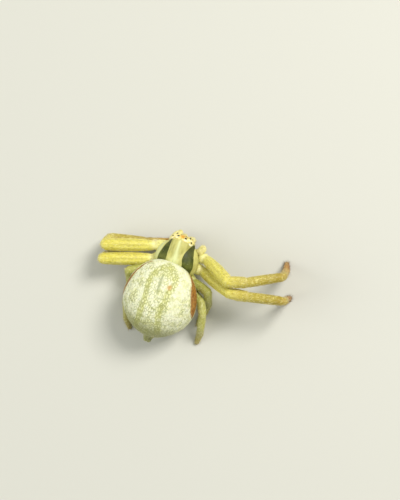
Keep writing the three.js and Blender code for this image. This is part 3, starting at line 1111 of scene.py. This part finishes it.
def noise(material, place, scale, detail=4.0):
    """Soft noise from 0 to 1."""
    inputs = {"Vector": place, "Scale": scale, "Detail": detail}
    return add_node(material, "ShaderNodeTexNoise", inputs).outputs["Fac"]


def speckle(material, place, scale, low, high, detail=4.0):
    """Noise cut to soft specks: none where it is at low, full where it is at high."""
    return between(material, noise(material, place, scale, detail), low, high)


def paint_over(material, below, above, amount):
    """Lay one colour over another by an amount from 0 to 1."""
    values = {"amount": amount, "below": below, "above": above}
    inputs = {COLOUR_MIX[name]: value for name, value in values.items()}
    node = add_node(material, "ShaderNodeMix", inputs, data_type="RGBA")
    return node.outputs[COLOUR_MIX["result"]]


def bump(material, shader, height, distance, strength):
    """Fine relief, with its height in millimetres."""
    inputs = {"Height": height, "Distance": distance * MM, "Strength": strength}
    node = add_node(material, "ShaderNodeBump", inputs)
    material.node_tree.links.new(node.outputs["Normal"], shader.inputs["Normal"])


# %% [markdown]
# ## Leg finish
#
# The front legs go from pale yellow at the hip to a stronger yellow on the thigh and rusty
# brown at the claws, and the rear legs are a duller green. A colour for each segment would
# leave hard edges, so a ramp runs down the whole leg. Over it come lengthwise grain, dark
# furrows, specks, the brown front edge of the folded legs and pale joints, and painted
# highlights: pale ones on ridges of the grain and small painted glints.

# %% Leg materials
LONG_LEG_RAMP = [
    (0.0, (216, 212, 128)),
    (0.14, (224, 220, 136)),
    (0.2, (222, 213, 98)),
    (0.32, (217, 207, 86)),
    (0.38, (208, 194, 90)),
    (0.5, (182, 166, 66)),
    (0.64, (164, 144, 50)),
    (0.74, (172, 136, 42)),
    (0.86, (176, 114, 28)),
    (1.0, (132, 78, 14)),
]
SHORT_LEG_RAMP = [
    (0.0, (188, 186, 104)),
    (0.2, (164, 166, 72)),
    (0.45, (174, 174, 84)),
    (0.8, (178, 176, 92)),
    (1.0, (150, 134, 66)),
]
EDGE_BROWN = screen(142, 98, 36)


def ramp_down_leg(material, colours):
    """The colour for each place down the leg, from stops of place and screen colour."""
    ramp = add_node(material, "ShaderNodeValToRGB", {"Fac": read_label(material, "down_leg")})
    stops = ramp.color_ramp.elements
    for stop, (position, colour) in zip(stops, (colours[0], colours[-1])):
        stop.position = position
        stop.color = screen(*colour)
    for position, colour in colours[1:-1]:
        stops.new(position).color = screen(*colour)
    return ramp.outputs["Color"]


def leg_material(name, colours, dark, light, membrane):
    """Cuticle that changes colour down the leg, with long grain, specks and pale joints."""
    material, shader = new_material(name, roughness=0.42, subsurface=0.18)
    place = object_place(material)
    colour = ramp_down_leg(material, colours)
    unrolled_place = add_node(material, "ShaderNodeAttribute", attribute_name="grain_place")
    grain = noise(material, unrolled_place.outputs["Vector"], 14.0, 5.0)
    upper_leg = between(material, read_label(material, "down_leg"), 0.5, 0.34)
    grain_depth = reckon(material, "MULTIPLY_ADD", upper_leg, 0.3, 0.16)
    streaks = times(material, between(material, grain, 0.5, 0.7), grain_depth)
    colour = paint_over(material, colour, dark, streaks)
    # Painted highlight: the light colour laid on pale lengthwise ridges of the grain.
    painted_ridge_highlights = times(material, between(material, grain, 0.48, 0.32), 0.45)
    colour = paint_over(material, colour, light, painted_ridge_highlights)
    furrow = times(material, read_label(material, "furrow"), times(material, grain_depth, 0.6))
    colour = paint_over(material, colour, dark, furrow)
    specks = speckle(material, place, 7600.0, 0.54, 0.66, detail=3.0)
    colour = paint_over(material, colour, dark, times(material, specks, 0.36))
    # Painted highlight: small glints of the light colour, spread by noise.
    glints = speckle(material, place, 6400.0, 0.44, 0.34, detail=2.0)
    colour = paint_over(material, colour, light, times(material, glints, 0.4))
    blots = speckle(material, place, 5200.0, 0.42, 0.54, detail=2.0)
    edge = times(material, label_share(material, "edge", 0.8), blots)
    colour = paint_over(material, colour, EDGE_BROWN, edge)
    colour = paint_over(material, colour, membrane, label_share(material, "membrane", 0.6))
    give_colour(material, shader, colour)
    fine = times(material, noise(material, place, 14000.0, 3.0), 0.3)
    height = reckon(material, "ADD", times(material, grain, 0.7), fine)
    bump(material, shader, height, 0.05, 0.5)
    return material


# The light colours of the two leg finishes are painted highlights, for ridges and glints.
long_leg_cuticle = leg_material(
    "long_leg_cuticle",
    LONG_LEG_RAMP,
    dark=screen(152, 138, 56),
    light=screen(244, 238, 156),
    membrane=screen(246, 240, 186),
)
short_leg_cuticle = leg_material(
    "short_leg_cuticle",
    SHORT_LEG_RAMP,
    dark=screen(134, 132, 68),
    light=screen(222, 222, 164),
    membrane=screen(226, 224, 160),
)

# %% [markdown]
# ## Shield finish
#
# The ground is a pale green-yellow with faint lengthwise streaks. The side bands are dark
# olive, darkest in front, with slightly ragged edges, so noise is taken from their label
# before it is cut off. The eye field is cream, mottled, with an orange spot, and each eye
# has a pale rim and a paler crescent behind it.

# %% Shield material
SHIELD_GLOSS = 0.3
STREAK_STRETCH = (1.0, 0.3, 0.6)


def shield_material():
    """Pale green-yellow shield, dark olive at the sides, cream and orange round the eyes."""
    material, shader = new_material("carapace_cuticle", roughness=0.5, subsurface=0.12)
    shader.inputs["Specular IOR Level"].default_value = SHIELD_GLOSS
    place = object_place(material)
    stretch = {"Vector": place, "Scale": STREAK_STRETCH}
    stretched = add_node(material, "ShaderNodeMapping", stretch).outputs["Vector"]
    streaks = speckle(material, stretched, 5200.0, 0.38, 0.7)
    colour = paint_over(material, screen(198, 194, 118), screen(172, 168, 94), streaks)
    middle = label_share(material, "pale_streak", 0.85)
    colour = paint_over(material, colour, screen(226, 232, 176), middle)
    clouds = speckle(material, place, 1500.0, 0.35, 0.65)
    olive = paint_over(material, screen(62, 70, 22), screen(98, 104, 40), clouds)
    front = label_share(material, "dark_front", 0.7)
    olive = paint_over(material, olive, screen(50, 54, 10), front)
    wobble = reckon(material, "SUBTRACT", noise(material, place, 3600.0), 0.3)
    ragged = reckon(material, "SUBTRACT", read_label(material, "dark_band"), wobble)
    colour = paint_over(material, colour, olive, between(material, ragged, 0.1, 0.42))
    mottle = speckle(material, place, 5200.0, 0.42, 0.62)
    cream = paint_over(material, screen(240, 226, 140), screen(196, 172, 92), mottle)
    colour = paint_over(material, colour, cream, read_label(material, "eye_field"))
    spot = read_label(material, "orange_spot")
    colour = paint_over(material, colour, screen(222, 160, 44), spot)
    rim = label_share(material, "eye_rim", 0.75)
    colour = paint_over(material, colour, screen(250, 236, 150), rim)
    crescent = read_label(material, "eye_crescent")
    colour = paint_over(material, colour, screen(255, 250, 212), crescent)
    below = label_share(material, "underside", 0.8)
    colour = paint_over(material, colour, screen(196, 190, 118), below)
    give_colour(material, shader, colour)
    bump(material, shader, noise(material, place, 9000.0, 4.0), 0.03, 0.5)
    return material


carapace_cuticle = shield_material()

# %% [markdown]
# ## Abdomen finish
#
# Under the clear skin of the abdomen lie tiny white cells, with grey-green lines between
# them that come and go. Blender's own cell texture gives such cells, but by itself it looks
# like a tiled floor. So its places are shaken a little by noise, the cells are drawn out
# toward the tail, and the lines are broken by a second noise and kept off the brightest
# parts. Bands, heart mark, spot and stripes are then painted by their labels, and so is a
# painted shade of dull olive over the belly and the tail.

# %% Cells of the abdomen
CELL_SHAKE = 0.22 * MM
CELL_STRETCH = (1.0, 0.5, 0.85)
CELLS_A_METRE = 6400.0


def abdomen_cells(material, place):
    """Small cells, drawn out toward the tail: their edges as 1, their middles as 0."""
    wander_inputs = {"Vector": place, "Scale": 2500.0, "Detail": 2.0}
    wander = add_node(material, "ShaderNodeTexNoise", wander_inputs).outputs["Color"]
    shake = {0: wander, 1: (CELL_SHAKE,) * 3, 2: place}
    shaken = add_node(material, "ShaderNodeVectorMath", shake, operation="MULTIPLY_ADD")
    stretch = {"Vector": shaken.outputs["Vector"], "Scale": CELL_STRETCH}
    long_cells = add_node(material, "ShaderNodeMapping", stretch).outputs["Vector"]
    cells = add_node(
        material,
        "ShaderNodeTexVoronoi",
        {"Vector": long_cells, "Scale": CELLS_A_METRE},
        feature="DISTANCE_TO_EDGE",
    )
    return between(material, cells.outputs["Distance"], 0.22, 0.02)


def line_strength(material, place, clouds):
    """How dark the lines between the cells are, from place to place."""
    broken = speckle(material, place, 5600.0, 0.44, 0.6, detail=2.0)
    strength = reckon(material, "MULTIPLY_ADD", clouds, 0.3, 0.1)
    strength = reckon(material, "MULTIPLY_ADD", broken, 0.4, strength)
    dashes = read_label(material, "dashes")
    strength = reckon(material, "MULTIPLY_ADD", dashes, 0.1, strength)
    clear = label_share(material, "clear", 0.8)
    return times(material, strength, reckon(material, "SUBTRACT", 1.0, clear))


# %% Abdomen material
def paint_back(material, place, colour, lines):
    """The bands with their own lines, the heart mark and the orange spot."""
    patches = speckle(material, place, 3000.0, 0.36, 0.6, detail=3.0)
    band = between(material, read_label(material, "back_band"), 0.05, 0.6)
    wash = times(material, band, reckon(material, "MULTIPLY_ADD", patches, 0.35, 0.38))
    colour = paint_over(material, colour, screen(208, 210, 124), wash)
    band_lines = times(material, times(material, band, lines), 0.6)
    colour = paint_over(material, colour, screen(142, 146, 78), band_lines)
    heart = between(material, read_label(material, "heart_mark"), 0.0, 0.7)
    colour = paint_over(material, colour, screen(150, 158, 112), times(material, heart, 0.65))
    spot = label_share(material, "orange_spot", 0.75)
    return paint_over(material, colour, screen(202, 146, 58), spot)


def paint_flanks(material, place, colour):
    """The two rust stripes, mottled, with slightly ragged edges."""
    mottle = speckle(material, place, 6000.0, 0.4, 0.64)
    rust = paint_over(material, screen(140, 88, 26), screen(180, 132, 60), mottle)
    wobble = times(material, noise(material, place, 4200.0), 0.25)
    for stripe in ("right_stripe", "left_stripe"):
        ragged = reckon(material, "SUBTRACT", read_label(material, stripe), wobble)
        colour = paint_over(material, colour, rust, between(material, ragged, 0.24, 0.44))
    return colour


def abdomen_material():
    """Cream white in tiny cells with grey-green lines, banded above, rust on the flanks."""
    material, shader = new_material("abdomen_cuticle", roughness=0.46, subsurface=0.15)
    place = object_place(material)
    lines = abdomen_cells(material, place)
    clouds = speckle(material, place, 2100.0, 0.4, 0.66, detail=3.0)
    colour = paint_over(material, screen(240, 242, 212), screen(228, 230, 182), clouds)
    shown_lines = times(material, lines, line_strength(material, place, clouds))
    colour = paint_over(material, colour, screen(138, 144, 76), shown_lines)
    colour = paint_back(material, place, colour, lines)
    colour = paint_flanks(material, place, colour)
    # Painted shade: dull olive over the belly and the tail slope, held back by its label.
    olive = paint_over(material, screen(152, 154, 84), screen(130, 132, 64), lines)
    colour = paint_over(material, colour, olive, label_share(material, "painted_shade", 0.85))
    give_colour(material, shader, colour)
    bump(material, shader, reckon(material, "SUBTRACT", 1.0, lines), 0.035, 0.7)
    return material


abdomen_cuticle = abdomen_material()

# %% [markdown]
# ## Mouth, eye and hair finishes
#
# Jaws and palps are pale yellow with dark brown fangs. A lens is a wet black bead with a
# brown depth, so it gets a second, sharper gloss as a coat. All hairs share one material,
# from pale straw to dark brown by the shade that each carries, because a material for each
# leg's coat would differ in nothing else.

# %% Mouth part, eye and hair materials
def mouth_material():
    """Pale yellow cuticle with dark brown fangs."""
    material, shader = new_material("mouth_cuticle", roughness=0.4, subsurface=0.2)
    place = object_place(material)
    clouds = speckle(material, place, 2400.0, 0.45, 0.7)
    colour = paint_over(material, screen(228, 220, 150), screen(196, 186, 112), clouds)
    colour = paint_over(material, colour, screen(70, 38, 18), read_label(material, "fang"))
    give_colour(material, shader, colour)
    bump(material, shader, noise(material, place, 12000.0, 3.0), 0.012, 0.5)
    return material


def lens_material():
    """A wet black bead with a brown depth."""
    material, shader = new_material("eye_lens", roughness=0.1)
    depth = speckle(material, object_place(material), 5000.0, 0.5, 0.8)
    colour = paint_over(material, screen(16, 12, 8), screen(58, 34, 16), depth)
    give_colour(material, shader, colour)
    shader.inputs["Coat Weight"].default_value = 0.3
    shader.inputs["Coat Roughness"].default_value = 0.03
    return material


def hair_material():
    """Hairs from pale straw to dark brown, by the shade that each carries."""
    material, shader = new_material("hair", roughness=0.45)
    shade = read_label(material, "shade")
    colour = paint_over(material, screen(236, 228, 178), screen(84, 50, 22), shade)
    uneven = speckle(material, object_place(material), 3000.0, 0.4, 0.7)
    colour = paint_over(material, colour, screen(206, 186, 124), times(material, uneven, 0.25))
    give_colour(material, shader, colour)
    return material


mouth_cuticle, eye_lens, hair = mouth_material(), lens_material(), hair_material()

# %% [markdown]
# ## Dressing the solids
#
# Every piece now gets its material, goes back to real size and takes its place in the part.
# A skin replaces the solids that it was grown from, and a lens its eyeball, so that no plain
# facet shows. The hairs and claws replace nothing. Nothing on this still model moves, so all
# of it rides on the one body, the root.

# %% Dress every piece
def dress(piece, material, nodes=()):
    """Give a piece its material, its real size and its place in the part."""
    piece.data.materials.clear()
    piece.data.materials.append(material)
    choose(piece)
    piece.scale = (MM, MM, MM)
    bpy.ops.object.transform_apply(location=True, rotation=True, scale=True)
    bpy.ops.object.shade_smooth()
    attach(piece, "root")
    if nodes:
        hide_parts(*nodes)
    print(piece.name, "faces:", len(piece.data.polygons))


for leg in LEGS.values():
    if leg["long"]:
        dress(leg["skin"], long_leg_cuticle, leg["nodes"])
    else:
        dress(leg["skin"], short_leg_cuticle, leg["nodes"])
dress(head_skin, carapace_cuticle, ["cephalothorax"])
dress(abdomen_skin, abdomen_cuticle, ["abdomen", "pedicel"])
for node, skin in mouth_skins.items():
    dress(skin, mouth_cuticle, [node])
for node, lens in lenses.items():
    dress(lens, eye_lens, [node])
for coat in coats:
    dress(coat, hair)

# %% [markdown]
# ## Floor
#
# The spider sits on a plain pale floor, a sheet wide enough to fill the picture from any
# side. It is marked as stage, because it isn't part of the object.

# %% Floor
FLOOR_SIZE = 0.6
bpy.ops.object.select_all(action="DESELECT")
bpy.ops.mesh.primitive_plane_add(size=FLOOR_SIZE, location=(0, 0, 0))
floor = bpy.context.object
floor.name = "floor"
floor_material, floor_shader = new_material("floor_paper", roughness=0.85)
floor_shader.inputs["Base Color"].default_value = screen(206, 206, 200)
floor.data.materials.append(floor_material)
floor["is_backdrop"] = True
print("floor:", FLOOR_SIZE, "m wide")

# %% [markdown]
# ## Lights
#
# Soft studio light: a square lamp stands high on the spider's right, toward her head, a
# broader and weaker one lower on her left, toward her tail, and a dim even sky fills the
# rest. A single lamp would leave her left side dark, and a sky alone would show no form.

# %% Lights
SKY_STRENGTH = 0.5
SKY_COLOUR = (0.99, 1.0, 0.92, 1.0)


def add_lamp(name, place, size, power, colour):
    """A square lamp aimed at the middle of the spider."""
    light = bpy.data.lights.new(name, "AREA")
    light.size = size
    light.energy = power
    light.color = colour
    lamp = bpy.data.objects.new(name, light)
    bpy.context.scene.collection.objects.link(lamp)
    lamp.location = place
    aim = -lamp.location.normalized()
    lamp.rotation_euler = aim.to_track_quat("-Z", "Y").to_euler()
    print(name, "lamp:", size, "m wide,", round(lamp.location.length, 3), "m away")


add_lamp("key", (-0.085, -0.11, 0.15), size=0.07, power=0.365, colour=(1.0, 0.97, 0.9))
add_lamp("fill", (0.12, 0.06, 0.1), size=0.14, power=0.105, colour=(0.99, 1.0, 0.93))
world = bpy.data.worlds.new("even_sky")
world.use_nodes = True
sky = world.node_tree.nodes["Background"]
sky.inputs["Color"].default_value = SKY_COLOUR
sky.inputs["Strength"].default_value = SKY_STRENGTH
bpy.context.scene.world = world
bpy.context.scene.view_settings.view_transform = "Standard"

# %% [markdown]
# ## Camera
#
# The camera looks almost straight down from well over ten body lengths, leaning 15 degrees
# to the spider's right, and is turned so that her head points up and a little right in the
# picture. Its three directions are worked out one from another, because a tracking camera
# can't be turned about its own line of sight.

# %% Camera
from mathutils import Matrix, Vector

CAMERA_DISTANCE = 0.110
CAMERA_LEAN = math.radians(15)
CAMERA_TWIST = math.radians(22.3)
FRAME_HEIGHT = 0.0359
SENSOR_HEIGHT = 36.0
LOOK_AT = Vector((-0.832, -4.384, 0.0)) * MM

back = Vector((-math.sin(CAMERA_LEAN), 0, math.cos(CAMERA_LEAN)))
level = Vector((-math.cos(CAMERA_LEAN), 0, -math.sin(CAMERA_LEAN)))
ahead = back.cross(level)
right = level * math.cos(CAMERA_TWIST) + ahead * math.sin(CAMERA_TWIST)
up = back.cross(right)
turn = Matrix((right, up, back)).transposed().to_4x4()

camera_data = bpy.data.cameras.new("photo_camera")
camera_data.sensor_fit = "VERTICAL"
camera_data.sensor_height = SENSOR_HEIGHT
camera_data.lens = SENSOR_HEIGHT * CAMERA_DISTANCE / FRAME_HEIGHT
camera_data.clip_start = 0.005
camera_data.clip_end = 2.0
camera = bpy.data.objects.new("photo_camera", camera_data)
bpy.context.scene.collection.objects.link(camera)
camera.matrix_world = Matrix.Translation(LOOK_AT + back * CAMERA_DISTANCE) @ turn
bpy.context.scene.camera = camera
print("camera right", [round(v, 4) for v in right], "up", [round(v, 4) for v in up])

# %% [markdown]
# ## Size
#
# The looks may not change the object's size. The solids' box from the start and the
# dressed spider's box from here are kept side by side, so that the two can be compared.

# %% Keep both sizes and finish
dressed_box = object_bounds()
boxes = {
    "solids": [list(map(float, corner)) for corner in solids_box],
    "dressed": [list(map(float, corner)) for corner in dressed_box],
}
for name, box in boxes.items():
    print(name, "box in mm:", np.round(np.array(box) * MODEL_SCALE, 2).tolist())
